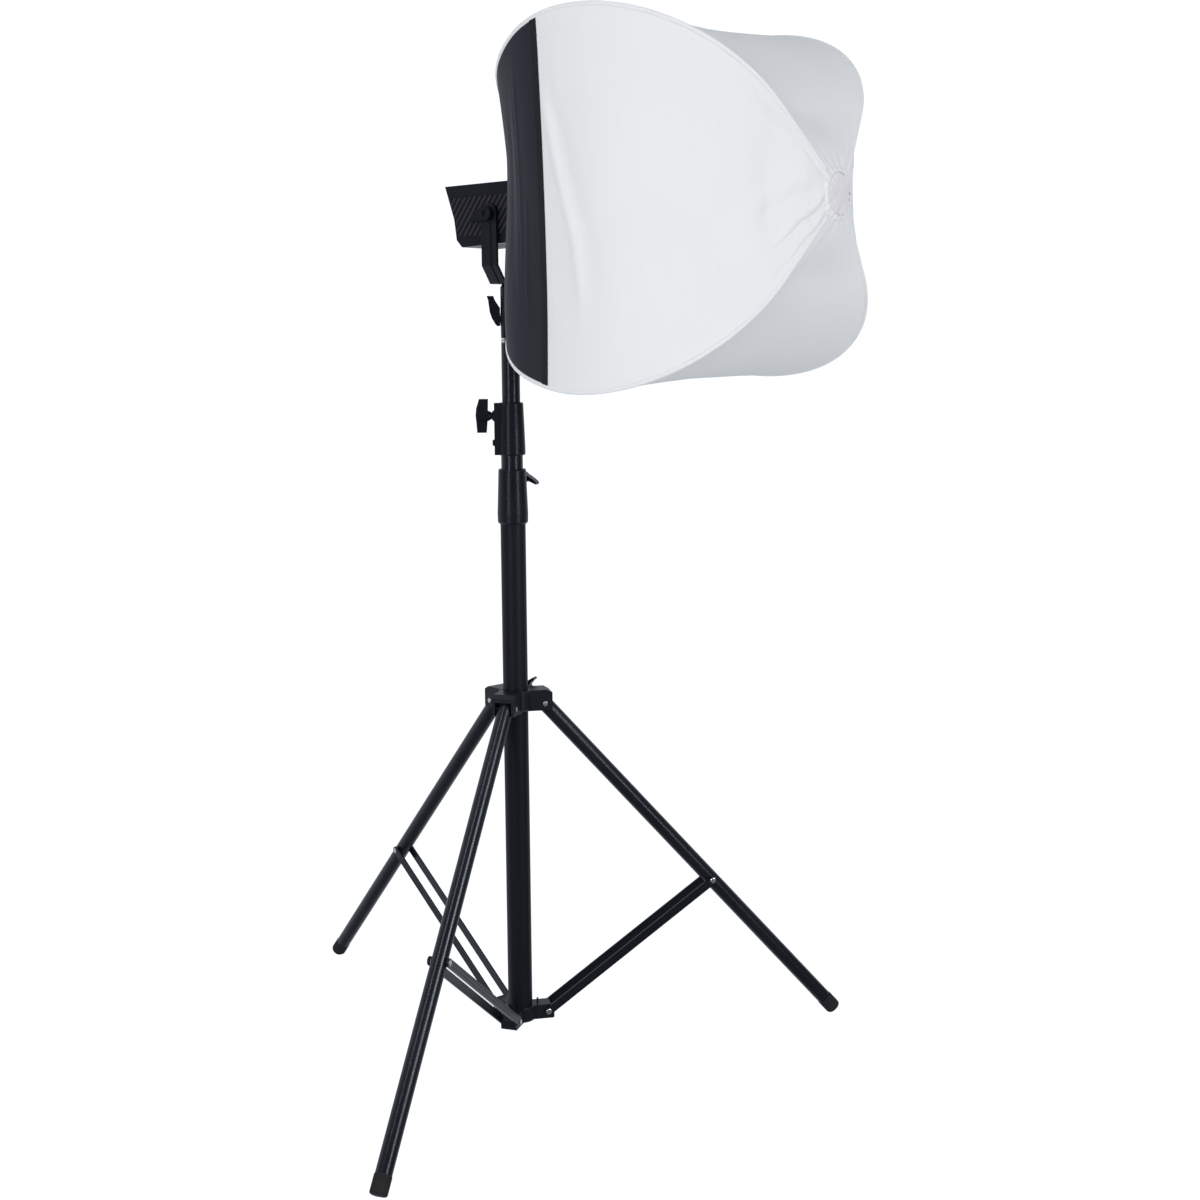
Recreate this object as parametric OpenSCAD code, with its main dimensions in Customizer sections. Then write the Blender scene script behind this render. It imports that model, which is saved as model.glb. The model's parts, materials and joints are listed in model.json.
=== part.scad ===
// Lantern softbox on an LED light head, with its yoke and a three-section folding light stand.
// Millimetres, +Z up. The softbox points along +X. The origin is on the floor, under the middle
// of the whole object. Each module is drawn about the stand's own axis, and in_place() shifts it.

/* [Stand] */
// Radius of the circle that the three feet stand on
foot_circle_r = 480; // [450:5:500]
// Direction of the first leg, from the direction that the softbox faces
leg_azimuth = 48.2; // [42:0.1:54]
// Height of the pivots that the legs hang from
spreader_z = 501.4; // [490:0.2:512]
// Height of the pivots at the foot of the braces
lower_pivot_z = 45.4; // [44:0.2:48]
// Distance from the stand's axis to both sets of pivots
pivot_r = 39.5; // [39.2:0.1:40.2]
// Outer diameter of a leg
leg_dia = 21.5; // [20:0.1:21.8]
// Distance from a leg's pivot to the brace rivet on it
brace_reach = 371; // [355:1:385]

/* [Mast] */
// Outer diameter of the base tube
base_tube_dia = 35; // [34.5:0.1:35.2]
// Outer diameter of the second tube
tube_2_dia = 30; // [29.5:0.1:30.2]
// Outer diameter of the third tube
tube_3_dia = 25; // [24.5:0.1:25.2]
// Wall of the three tubes
tube_wall = 1.3; // [1:0.1:1.6]
// Underside of the collar on the base tube
collar_1_z = 756; // [750:1:765]
// Underside of the collar on the second tube
collar_2_z = 851; // [846:1:860]
// Underside of the yoke's receiver
receiver_z = 1010; // [1005:1:1015]

/* [Light head] */
// Height of the light's axis over the stand's axis
axis_z = 1166; // [1160:1:1175]
// Upward tilt of the head, in degrees
head_tilt = 0.9; // [-5:0.1:10]
// Width of the light's body
body_w = 72; // [68:1:74]

/* [Softbox] */
// Greatest distance from the softbox's axis to a rib seam
rib_seam_r = 308; // [290:2:320]
// Turn of the softbox in its mount, in degrees
softbox_roll = 2.1; // [0:0.1:6]
// Distance from the stand's axis to the seam between black and white cloth
seam_x = 223; // [190:1:260]
// Thickness of the cloth panels
cloth_t = 1; // [0.8:0.1:1.4]

/* [Hidden] */
$fn = 96;
far = 2000;

// Clearances
fixed_gap = 0.02;
running_gap = 0.05;
slide_gap = 0.3;

// Legs and braces
pin_r = 3;
foot_end_z = 5;
leg_r = leg_dia / 2;
leg_drop = spreader_z - foot_end_z;
leg_run = foot_circle_r - pivot_r;
leg_len = norm([leg_run, leg_drop]);
leg_angle = atan2(leg_run, leg_drop);
leg_top = 6;
foot_r = leg_r + 0.65;
foot_sleeve = 24;
foot_sole = 6.5;
foot_round = 3;
brace_run = brace_reach * sin(leg_angle);
brace_rise = spreader_z - brace_reach * cos(leg_angle) - lower_pivot_z;
brace_len = norm([brace_run, brace_rise]);
brace_angle = atan2(brace_run, brace_rise);
bar_w = 12;
bar_t = 2.5;
bar_in = 12;
bar_out = bar_in + bar_t;
lug_half_w = bar_in - slide_gap;
ear_in = 12;
ear_out = 16;
spreader_low = spreader_z - 9;
spreader_top = spreader_z + 19.8;
spreader_ring_r = 24;
ear_low = spreader_low - 0.4;
ear_top = spreader_top + 0.4;
lower_low = lower_pivot_z - 11.4;
lower_top = lower_pivot_z + 10.2;
lug_low = lower_low + 0.3;
lug_top = lower_top - 0.3;

// Mast
base_r = base_tube_dia / 2;
tube_2_r = tube_2_dia / 2;
tube_3_r = tube_3_dia / 2;
base_tube_top = 795;
tube_2_low = 90;
tube_2_top = 888;
tube_3_low = 180;
tube_3_top = 1004;
bolt_r = 4;
side_azimuth = 219.2;
rear_azimuth = leg_azimuth + 60;
collar_1_knob_z = 817;
collar_2_knob_z = 905;
collar_screw_z = 868;
spreader_knob_z = 513.4;
collar_1_face = 27;
collar_2_face = 23.7;
spreader_face = 28;
wing_half = 23;

// Receiver, spigot and yoke
spigot_r = 7.94;
receiver_r = 12.6;
receiver_bore_top = 1053;
lever_z = 1036;
umbrella_z = 1066;
umbrella_r = 4.2;
pivot_up = 8;
pivot_z = axis_z + pivot_up;
yoke_low = -83.5;
yoke_bend = -60;
yoke_in = 38;
yoke_t = 4;
yoke_half_w = 13;
yoke_base_half = 25;
receiver_top = axis_z + yoke_low;

// Light head, measured from the light's axis
body_half = body_w / 2;
body_rear = -80;
body_front = 68;
body_top = 49;
body_low = -33;
low_rise = 3.5;
skin = 2.5;
panel_top = 34;
panel_low = -20;
mount_front = 88;
mount_r = 37.5;
centre_z = 8;

// Softbox, measured from the light's axis
rear_x = 84;
rear_bend_r = 193;
rear_bend_rho = rib_seam_r - rear_bend_r;
socket_top = 76;
shoulder_r = 110;
shoulder_from = 167;
shoulder_to = 134;
front_bend_r = 208;
front_bend_rho = rib_seam_r - front_bend_r;
bend_x = rear_x + rear_bend_r;
shoulder_x = bend_x + (rear_bend_r - shoulder_r) * cos(shoulder_to);
shoulder_rho = rear_bend_rho + (rear_bend_r - shoulder_r) * sin(shoulder_to);
front_end_angle = 10;
hub_rho = 33;
rear_rho = 60;
rib_r = 2;
rib_inset = (cloth_t + rib_r + 0.3) * sqrt(2);
front_x = bend_x + front_bend_r * cos(front_end_angle)
    + (front_bend_rho + front_bend_r * sin(front_end_angle) - hub_rho) * tan(front_end_angle);

// Shift that puts the origin under the middle of the whole object
foot_reach = foot_circle_r + 8;
x_low = foot_reach * cos(leg_azimuth + 120) - 2;
x_high = front_x + 3;
y_low = foot_reach * sin(leg_azimuth + 240) - 2;
y_high = foot_reach * sin(leg_azimuth) + 2;
shift = [-(x_low + x_high) / 2, -(y_low + y_high) / 2, 0];

satin_black = [0.06, 0.06, 0.065];
moulded_black = [0.09, 0.09, 0.1];
rubber_black = [0.04, 0.04, 0.045];
bright_steel = [0.75, 0.76, 0.78];
bare_aluminium = [0.7, 0.7, 0.72];
white_cloth = [0.92, 0.92, 0.93];
black_cloth = [0.1, 0.1, 0.12];

// ---- Frames that the parts are drawn in ----

module in_place() translate(shift) children();

module at_leg(i) rotate([0, 0, leg_azimuth + 120 * i]) children();

// +Z runs down the leg from its pivot
module leg_frame(i) {
    at_leg(i) translate([pivot_r, 0, spreader_z]) rotate([0, 180 - leg_angle, 0]) children();
}

// +Z runs up the brace from its pivot
module brace_frame(i) {
    at_leg(i) translate([pivot_r, 0, lower_pivot_z]) rotate([0, brace_angle, 0]) children();
}

// +X points out from the stand's axis
module facing(azimuth, z) translate([0, 0, z]) rotate([0, 0, azimuth]) children();

module head_frame() {
    translate([0, 0, pivot_z]) rotate([0, -head_tilt, 0]) translate([0, 0, -pivot_up]) children();
}

module softbox_frame() head_frame() rotate([softbox_roll, 0, 0]) children();

// ---- Small building blocks ----

module tube(r, low, top, wall) {
    translate([0, 0, low]) difference() {
        cylinder(r = r, h = top - low);
        translate([0, 0, -1]) cylinder(r = r - wall, h = top - low + 2);
    }
}

// A rod along X from x_from to x_to
module rod_x(r, x_from, x_to) {
    translate([x_from, 0, 0]) rotate([0, 90, 0]) cylinder(r = r, h = x_to - x_from);
}

// A rod along Y from y_from to y_to
module rod_y(r, y_from, y_to) {
    translate([0, y_to, 0]) rotate([90, 0, 0]) cylinder(r = r, h = y_to - y_from);
}

// A domed rivet or bolt head along X, flat side at x = 0
module head_x(r, h) {
    rotate([0, 90, 0]) rotate_extrude() polygon([[0, 0], [r, 0], [r, h * 0.45], [r * 0.72, h], [0, h]]);
}

module plate_xz(half_y) rotate([90, 0, 0]) linear_extrude(height = 2 * half_y, center = true) children();

// Wing knob: a screw along +X with a hub and two thin swept wings, turned by roll about its own axis
module wing_knob(tip, face, roll) {
    grip = face + 6;
    fin = [
        [6.5, 3], [5.2, 9], [2.8, 16], [0.2, wing_half - 1], [-1.2, wing_half], [-3.8, wing_half],
        [-2.2, 15.5], [-1.6, 9], [-4.5, 4]
    ];
    rod_x(bolt_r, tip, grip);
    translate([face + 0.4, 0, 0]) rotate([0, 90, 0]) cylinder(r1 = 4.8, r2 = 7.8, h = 5.8);
    rotate([roll, 0, 0]) intersection() {
        plate_xz(9) polygon([
            [grip - 1, wing_half], [grip + 11.5, wing_half], [grip + 15.5, 10], [grip + 16.3, 0],
            [grip + 15.5, -8], [grip + 14.5, -wing_half], [grip + 1.3, -wing_half], [grip, -6],
            [grip - 0.6, 6]
        ]);
        translate([grip - 3, 0, 0]) rotate([90, 0, 90]) linear_extrude(height = 24) union() {
            circle(r = 8);
            polygon(concat(fin, -fin));
        }
    }
}

// ---- Stand ----

module base_tube() color(satin_black) tube(base_r, lower_low + 2, base_tube_top, tube_wall);

module base_plug() color(moulded_black) translate([0, 0, lower_low]) {
    cylinder(r = base_r, h = 2 - fixed_gap);
    tube(base_r - tube_wall - fixed_gap, 1.9, 26, 2);
}

module lower_collar() color(moulded_black) difference() {
    union() {
        translate([0, 0, lower_low]) rotate_extrude() polygon([
            [10, 0], [21, 0], [22.5, 1.5], [22.5, lower_top - lower_low - 1],
            [21.5, lower_top - lower_low], [10, lower_top - lower_low]
        ]);
        for (i = [0:2]) at_leg(i) {
            plate_xz(lug_half_w) polygon([
                [12, lug_low], [46.5, lug_low], [48, lug_low + 1.5], [48, lug_top - 7], [43, lug_top],
                [12, lug_top]
            ]);
            translate([25.2, 0, lug_top - 1]) cylinder(r = 1.3, h = 8);
        }
    }
    translate([0, 0, lower_low - 1]) cylinder(r = base_r + fixed_gap, h = 40);
    for (i = [0:2]) at_leg(i) translate([pivot_r, 0, lower_pivot_z]) rod_y(pin_r + running_gap, -20, 20);
}

module spreader() color(moulded_black) difference() {
    union() {
        translate([0, 0, spreader_low]) rotate_extrude() polygon([
            [10, 0], [22, 0], [spreader_ring_r, 2], [spreader_ring_r, 27.3], [22.5, 28.8], [10, 28.8]
        ]);
        for (i = [0:2]) at_leg(i) difference() {
            plate_xz(ear_out) polygon([
                [12, ear_low], [48.5, ear_low], [50, ear_low + 1.5], [50, ear_top - 4.4],
                [42.5, ear_top], [12, ear_top]
            ]);
            // Channel for the leg's end, with a lip that hangs down at the front
            translate([0, 0, spreader_z]) plate_xz(ear_in) polygon([
                [spreader_ring_r + 0.6, -12], [60, -12], [60, 9.8], [47.8, 9.8], [44.5, 13],
                [spreader_ring_r + 0.6, 13]
            ]);
        }
        facing(rear_azimuth, spreader_knob_z) rod_x(7.3, 18, spreader_face);
    }
    translate([0, 0, spreader_low - 1]) cylinder(r = base_r + slide_gap, h = 40);
    for (i = [0:2]) at_leg(i) translate([pivot_r, 0, spreader_z]) rod_y(pin_r + fixed_gap, -20, 20);
    facing(rear_azimuth, spreader_knob_z) rod_x(bolt_r + running_gap, 10, 40);
}

module leg_pins() color(bright_steel) for (i = [0:2]) at_leg(i) translate([pivot_r, 0, spreader_z]) {
    rod_y(pin_r, -ear_out, ear_out);
    for (side = [-1, 1]) translate([0, side * ear_out, 0]) rotate([0, 0, side * 90]) head_x(3.6, 1.3);
}

module spreader_knob() color(moulded_black)
    facing(rear_azimuth, spreader_knob_z) wing_knob(base_r + 0.4, spreader_face, 35);

module leg(i) color(satin_black) leg_frame(i) difference() {
    tube(leg_r, -leg_top, leg_len - foot_sole, 1.2);
    rod_y(pin_r + running_gap, -20, 20);
}

// The sole is cut level, so that the foot stands on a small flat
module foot(i) color(rubber_black) intersection() {
    leg_frame(i) translate([0, 0, leg_len]) rotate_extrude() polygon(concat(
        [[0, 0], [foot_r - foot_round, 0]],
        [for (a = [15:15:75]) [foot_r - foot_round + foot_round * sin(a), foot_round * (cos(a) - 1)]],
        [
            [foot_r, -foot_round], [foot_r, 1 - foot_sleeve], [foot_r - 0.4, -foot_sleeve],
            [leg_r + fixed_gap, -foot_sleeve], [leg_r + fixed_gap, -foot_sole], [0, -foot_sole]
        ]
    ));
    translate([-far / 2, -far / 2, 0]) cube([far, far, 100]);
}

module brace(i) color(satin_black) brace_frame(i) for (side = [-1, 1]) difference() {
    translate([0, side * (bar_in + bar_t / 2), 0]) plate_xz(bar_t / 2) difference() {
        union() {
            circle(r = bar_w / 2);
            translate([0, brace_len]) circle(r = bar_w / 2);
            translate([-bar_w / 2, 0]) square([bar_w, brace_len]);
        }
        circle(r = pin_r + fixed_gap);
        translate([0, brace_len]) circle(r = pin_r + fixed_gap);
    }
    for (x = [-2.4, 2.4]) translate([x - 0.7, side * bar_out - 0.5, 13]) cube([1.4, 1, brace_len - 26]);
}

module brace_rivets(i) color(bright_steel) brace_frame(i) {
    rod_y(pin_r, -bar_out, bar_out);
    for (side = [-1, 1]) {
        translate([0, side * bar_out, 0]) rotate([0, 0, side * 90]) head_x(4.2, 1.5);
        translate([0, side * bar_out, brace_len]) rotate([0, 0, side * 90]) {
            rod_x(pin_r, -bar_t, 0.2);
            head_x(4.2, 1.5);
        }
    }
}

// ---- Mast ----

module lock_collar_1() color(moulded_black) difference() {
    union() {
        translate([0, 0, collar_1_z]) rotate_extrude() polygon([
            [10, 0], [18.8, 0], [21, 2.6], [21.3, 14], [19.1, 74.5], [18, 76], [10, 76]
        ]);
        facing(rear_azimuth, collar_1_knob_z) rod_x(9, 12, collar_1_face);
    }
    translate([0, 0, collar_1_z - 1])
        cylinder(r = base_r + fixed_gap, h = base_tube_top - collar_1_z + 1);
    translate([0, 0, collar_1_z]) cylinder(r = tube_2_r + slide_gap, h = 100);
    facing(rear_azimuth, collar_1_knob_z) rod_x(bolt_r + running_gap, 10, 40);
}

module lock_knob_1() color(moulded_black)
    facing(rear_azimuth, collar_1_knob_z) wing_knob(tube_2_r + 0.4, collar_1_face, -75);

module tube_2() color(satin_black) tube(tube_2_r, tube_2_low, tube_2_top, tube_wall);

module slide_bush_2() color(moulded_black) {
    bush_r = base_r - tube_wall - slide_gap;
    tube(bush_r, tube_2_low - 8, tube_2_low - fixed_gap, 3.4);
    tube(tube_2_r - tube_wall - fixed_gap, tube_2_low - 2, tube_2_low + 30, 1.8);
}

module lock_collar_2() color(moulded_black) difference() {
    union() {
        translate([0, 0, collar_2_z]) rotate_extrude() polygon([
            [10, 0], [17.4, 0], [18.8, 1.6], [18.7, 12], [16.6, 70.6], [15.6, 72], [10, 72]
        ]);
        facing(side_azimuth, 0) {
            translate([10, -9, collar_2_z + 0.5]) cube([collar_2_face - 10, 18, 71]);
            translate([collar_2_face - 0.5, 0, collar_2_knob_z]) rotate([0, 90, 0])
                cylinder(r1 = 8.6, r2 = 5.4, h = 3.5);
        }
    }
    translate([0, 0, collar_2_z - 1])
        cylinder(r = tube_2_r + fixed_gap, h = tube_2_top - collar_2_z + 1);
    translate([0, 0, collar_2_z]) cylinder(r = tube_3_r + slide_gap, h = 100);
    facing(side_azimuth, collar_2_knob_z) rod_x(bolt_r + running_gap, 8, 40);
    facing(side_azimuth, collar_screw_z) rod_x(2.5 + fixed_gap, 10, 40);
}

module collar_screw() color(moulded_black) facing(side_azimuth, collar_screw_z) {
    rod_x(2.5, tube_2_r + 0.1, collar_2_face);
    translate([collar_2_face, 0, 0]) head_x(4.6, 2.8);
}

module lock_knob_2() color(moulded_black)
    facing(side_azimuth, collar_2_knob_z) wing_knob(tube_3_r + 0.4, collar_2_face + 3, 0);

module tube_3() color(satin_black) tube(tube_3_r, tube_3_low, tube_3_top, tube_wall);

module slide_bush_3() color(moulded_black) {
    bush_r = tube_2_r - tube_wall - slide_gap;
    tube(bush_r, tube_3_low - 8, tube_3_low - fixed_gap, 3.4);
    tube(tube_3_r - tube_wall - fixed_gap, tube_3_low - 2, tube_3_low + 30, 1.8);
}

// Stud on the top of the mast, with the waist that the receiver's lever grips
module spigot() color(bright_steel) rotate_extrude() polygon([
    [0, tube_3_top - 24], [tube_3_r - tube_wall - fixed_gap, tube_3_top - 24],
    [tube_3_r - tube_wall - fixed_gap, tube_3_top], [tube_3_r, tube_3_top],
    [tube_3_r, receiver_z - 1.5], [tube_3_r - 1, receiver_z - 0.5], [spigot_r, receiver_z - 0.5],
    [spigot_r, lever_z - 7], [6.2, lever_z - 5], [6.2, lever_z + 5], [spigot_r, lever_z + 7],
    [spigot_r, receiver_bore_top - 3], [spigot_r - 1.5, receiver_bore_top - 1],
    [0, receiver_bore_top - 1]
]);

// ---- Receiver and yoke ----

module receiver() color(moulded_black) difference() {
    union() {
        rotate_extrude() polygon([
            [0, receiver_z], [receiver_r - 1, receiver_z], [receiver_r, receiver_z + 1],
            [receiver_r, receiver_top - 4], [receiver_r - 2.5, receiver_top], [0, receiver_top]
        ]);
        facing(side_azimuth, lever_z) rod_x(8, 8, receiver_r + 0.4);
    }
    translate([0, 0, receiver_z - 1])
        cylinder(r = spigot_r + 0.06, h = receiver_bore_top - receiver_z + 1);
    facing(side_azimuth, lever_z) rod_x(bolt_r + running_gap, 4, 30);
    translate([0, 0, umbrella_z]) rod_x(umbrella_r, -30, 30);
    translate([0, 0, receiver_top - 9]) cylinder(r = bolt_r + fixed_gap, h = 20);
}

// Locking lever whose handle sweeps up and away from the receiver
module receiver_lever() color(moulded_black) facing(side_azimuth, lever_z) {
    rod_x(bolt_r, 6.8, 16);
    rod_x(7.5, receiver_r + 0.6, 20);
    plate_xz(4.5) polygon([
        [receiver_r + 0.6, -9.2], [17.4, -9.6], [20, -6.6], [24.5, 1], [27.2, 9], [28.3, 17.5],
        [29.3, 25.8], [31.2, 31], [22, 31], [20.1, 25.5], [15, 17.5], [receiver_r + 0.6, 15]
    ]);
}

module yoke_band(extra, half_w) {
    outer = yoke_in + yoke_t + extra;
    foot_half = yoke_base_half + extra * 0.5;
    low = yoke_low - extra;
    bend = yoke_bend - extra * 0.3;
    rotate([90, 0, 90]) linear_extrude(height = 2 * half_w, center = true) polygon([
        [-outer, pivot_up], [-outer, bend], [-foot_half, low], [foot_half, low], [outer, bend],
        [outer, pivot_up], [yoke_in, pivot_up], [yoke_in, yoke_bend + 1.3],
        [yoke_base_half - 1.8, yoke_low + yoke_t], [1.8 - yoke_base_half, yoke_low + yoke_t],
        [-yoke_in, yoke_bend + 1.3], [-yoke_in, pivot_up]
    ]);
}

module yoke() color(moulded_black) translate([0, 0, axis_z]) difference() {
    union() {
        yoke_band(0, yoke_half_w);
        intersection() {
            yoke_band(1, 3.5);
            translate([-20, -60, yoke_low + 0.01]) cube([40, 120, 80]);
        }
        for (side = [-1, 1]) translate([0, side * (yoke_in + yoke_t / 2), pivot_up])
            rod_y(yoke_half_w, -yoke_t / 2, yoke_t / 2);
    }
    translate([0, 0, pivot_up]) rod_y(bolt_r + running_gap, -60, 60);
    translate([0, 0, yoke_low - 5]) cylinder(r = bolt_r + fixed_gap, h = 20);
}

module yoke_bolt() color(bright_steel) {
    translate([0, 0, receiver_top - 8]) cylinder(r = bolt_r, h = 8 + yoke_t);
    translate([0, 0, receiver_top + yoke_t]) rotate([0, -90, 0]) head_x(7, 4);
}

module tilt_bolts() color(satin_black) head_frame() translate([0, 0, pivot_up]) {
    for (side = [-1, 1]) rotate([0, 0, side * 90]) {
        rod_x(bolt_r, body_half - skin - 4, yoke_in + yoke_t + 6);
        rod_x(9, body_half + fixed_gap, yoke_in - 0.1);
        rod_x(8, body_half - skin - 4, body_half - skin - fixed_gap);
    }
    translate([0, yoke_in + yoke_t + 0.3, 0]) rotate([0, 0, 90]) head_x(8.5, 6.5);
}

// Lever that clamps the tilt, on the right-hand arm of the yoke
module tilt_lever() color(moulded_black) translate([0, -(yoke_in + yoke_t), pivot_z]) difference() {
    union() {
        rod_y(9.5, -8, -0.3);
        translate([0, -5.2, 0]) plate_xz(2.4) polygon([
            [-4, 8.6], [-14, 5.4], [-24, -2.5], [-27.5, -8], [-25.5, -11.5], [-17, -9.5], [-5, -8]
        ]);
    }
    rod_y(bolt_r + running_gap, -20, 5);
}

// ---- Light head ----

function body_outline(t) = [
    [body_rear + t * 1.6, body_top - t], [body_front, body_top - t], [body_front, body_low + low_rise + t],
    [-53 + t * 0.4, body_low + t], [-62 + t, -23 + t * 0.4],
    [-65.4 + t, 4], [body_rear + 14.6 + t * 0.9, 4.2]
];

module body_solid(half, t) plate_xz(half) polygon(body_outline(t));

module body_slice(low, top) intersection() {
    children();
    translate([-far / 2, -far / 2, low]) cube([far, far, top - low]);
}

module body_shell() difference() {
    body_solid(body_half, 0);
    body_solid(body_half - skin, skin);
    translate([body_front - 20 - skin / 2, 2.5 - body_half, body_low + low_rise + skin + 0.6])
        cube([40, 2 * body_half - 5, 72]);
}

module pivot_holes() translate([0, 0, pivot_up]) rod_y(bolt_r + fixed_gap, -60, 60);

module side_panel(side) color(moulded_black) head_frame() difference() {
    intersection() {
        union() {
            body_solid(body_half, 0);
            // Raised diagonal ribs
            intersection() {
                body_solid(body_half + 0.7, 1.5);
                for (x = [-100:9:110]) translate([x, 0, 7]) rotate([0, 38, 0])
                    cube([3.2, 100, 90], center = true);
                translate([-90, -60, panel_low + 1.5]) cube([152, 120, panel_top - panel_low - 3]);
            }
        }
        translate([-100, side > 0 ? body_half - skin : -body_half - 5, panel_low + 0.05])
            cube([200, skin + 5, panel_top - panel_low - 0.1]);
    }
    pivot_holes();
    translate([0, side * (body_half + 1), pivot_up]) rod_y(13.5, -1, 1);
}

module top_cover() color(moulded_black) head_frame() difference() {
    body_slice(panel_top, 100) body_shell();
    for (x = [-48:8:40]) translate([x, 0, body_top]) cube([3, 44, 12], center = true);
}

module bottom_cover() color(moulded_black) head_frame() difference() {
    body_slice(-100, panel_low) body_shell();
    for (x = [-38:8:50]) translate([x, 0, body_low]) cube([3, 44, 12], center = true);
}

module rear_panel() color(moulded_black) head_frame() difference() {
    intersection() {
        body_slice(panel_low + 0.05, panel_top - 0.05) body_shell();
        translate([-100, -body_half + skin + 0.05, -50]) cube([48, body_w - 2 * skin - 0.1, 100]);
    }
    translate([0, -12, -3]) rod_x(pin_r + running_gap, -80, -50);
    translate([-62, 20, -9]) cube([20, 9.4, 15.4], center = true);
    translate([0, 4, -11]) rod_x(5 + fixed_gap, -80, -50);
    translate([-72.5, 0, 19]) rotate([0, -18, 0]) cube([4.4, 42.4, 20.4], center = true);
}

module display() color([0.03, 0.035, 0.04]) head_frame() translate([-72.5, 0, 19]) rotate([0, -18, 0])
    cube([1.2, 42, 20], center = true);

module dial() color(rubber_black) head_frame() translate([0, -12, -3]) {
    rod_x(pin_r, -66, -56);
    difference() {
        rod_x(6.5, -69.2, -66);
        for (a = [0:20:340]) rotate([a, 0, 0]) translate([-69.7, -0.5, 6.1]) cube([4, 1, 1]);
    }
}

module power_switch() color(rubber_black) head_frame() translate([-61.6, 20, -9]) rotate([90, 0, 0])
    linear_extrude(height = 8.6, center = true)
        polygon([[-3.4, 7], [-0.6, 0], [-1.4, -7], [4, -7], [4, 7]]);

module dc_inlet() color(bare_aluminium) head_frame() translate([0, 4, -11]) {
    difference() {
        rod_x(5, -63.6, -50);
        rod_x(3.2, -70, -53);
    }
    rod_x(0.9, -61, -52);
}

module mount_ring() color(satin_black) head_frame() difference() {
    union() {
        rod_x(44, body_front + 0.05, body_front + 4);
        rod_x(mount_r, body_front + 3, mount_front);
    }
    rod_x(mount_r - 4, body_front - 1, mount_front + 1);
    translate([0, 0, -41.5]) rod_x(1.6 + running_gap, body_front - 2, body_front + 10);
}

// Push button that lets the softbox out of the mount
module release_button() color(bright_steel) head_frame() translate([0, 0, -41.5]) {
    rod_x(1.6, body_front - 1.5, body_front + 5);
    rod_x(2.4, body_front - 5, body_front - 1.5);
}

module led_module() head_frame() {
    color([0.85, 0.86, 0.86]) rod_x(25.5, 66, 68);
    color([0.95, 0.8, 0.25]) rod_x(11, 68, 69.4);
}

// Finned block behind the lamp, with the plate that closes the body's front and the fan's spindle
module heat_sink() color(bare_aluminium) head_frame() {
    difference() {
        translate([20, -28, centre_z - 28]) cube([45, 56, 56]);
        for (z = [-16:7:34]) translate([10, -40, z]) cube([48, 80, 4]);
    }
    translate([62, 0.1 - body_half + skin, body_low + low_rise + skin + 0.1])
        cube([3.9, body_w - 2 * skin - 0.2, body_top - body_low - low_rise - 2 * skin - 0.2]);
    translate([0, 0, centre_z]) rod_x(2, -2, 22);
}

module fan() color(moulded_black) head_frame() translate([0, 0, centre_z]) difference() {
    union() {
        rod_x(10, 4, 16);
        for (a = [0:360 / 7:359]) rotate([a, 0, 0]) translate([10, 0, 17]) rotate([0, 0, 35])
            cube([9, 1.4, 18], center = true);
    }
    rod_x(2 + running_gap, -5, 30);
}

module driver_board() {
    color([0.1, 0.35, 0.18]) head_frame() {
        translate([-46, -27, -26]) cube([100, 54, 1.6]);
        for (x = [-40, 48], y = [-22, 22]) translate([x, y, x > 0 ? -27.1 : -29.9]) cylinder(r = 2, h = 4.6);
    }
    color(moulded_black) head_frame() for (x = [-36, -12, 12, 34])
        translate([x, -14, -24.4]) cube([10, 12, 3]);
}

// ---- Softbox ----

function arc(cx, cy, r, from, to, steps) =
    [for (i = [0:steps]) let (a = from + (to - from) * i / steps) [cx + r * cos(a), cy + r * sin(a)]];

// The bent part of a rib, as [distance along the axis, distance from the axis], set in by t
function bent_part(t) = concat(
    [[rear_x + t, socket_top]],
    arc(shoulder_x, shoulder_rho, shoulder_r - t, shoulder_from, shoulder_to, 4),
    arc(bend_x, rear_bend_rho, rear_bend_r - t, shoulder_to - 8, 90, 6),
    arc(bend_x, front_bend_rho, front_bend_r - t, 82, front_end_angle, 9)
);

// Rib seam from the mount to the hub, set in by t
function seam_line(t) = concat([[rear_x + t, rear_rho - 20]], bent_part(t), [[front_x - t, hub_rho]]);

// Half-height of the cloth between two ribs is the seam's distance over the square root of two
function cloth_half(t) = [for (p = seam_line(t)) [p[0], p[1] / sqrt(2)]];

function mirrored(points) =
    concat(points, [for (i = [len(points) - 1:-1:0]) [points[i][0], -points[i][1]]]);

// Square-sectioned lantern, set in by t all round
module lantern(t) intersection() {
    plate_xz(far / 4) polygon(mirrored(cloth_half(t)));
    linear_extrude(height = far / 2, center = true) polygon(mirrored(cloth_half(t)));
}

module cloth(x_from, x_to) intersection() {
    difference() {
        lantern(0);
        lantern(cloth_t);
        rod_x(46, 0, 200);
        rod_x(hub_rho - 9, 300, far);
    }
    translate([x_from, -far / 4, -far / 4]) cube([x_to - x_from, far / 2, far / 2]);
}

module rear_skin() color(black_cloth) softbox_frame() cloth(0, seam_x - 0.1);

module diffuser(i) color(white_cloth) softbox_frame() intersection() {
    cloth(seam_x + 0.1, far / 2);
    rotate([90 * i, 0, 0]) rotate([90, 0, 90]) linear_extrude(height = far / 2)
        polygon([[0.4, 0.6], [far / 4, far / 4 + 0.2], [-far / 4, far / 4 + 0.2], [-0.4, 0.6]]);
}

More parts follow.
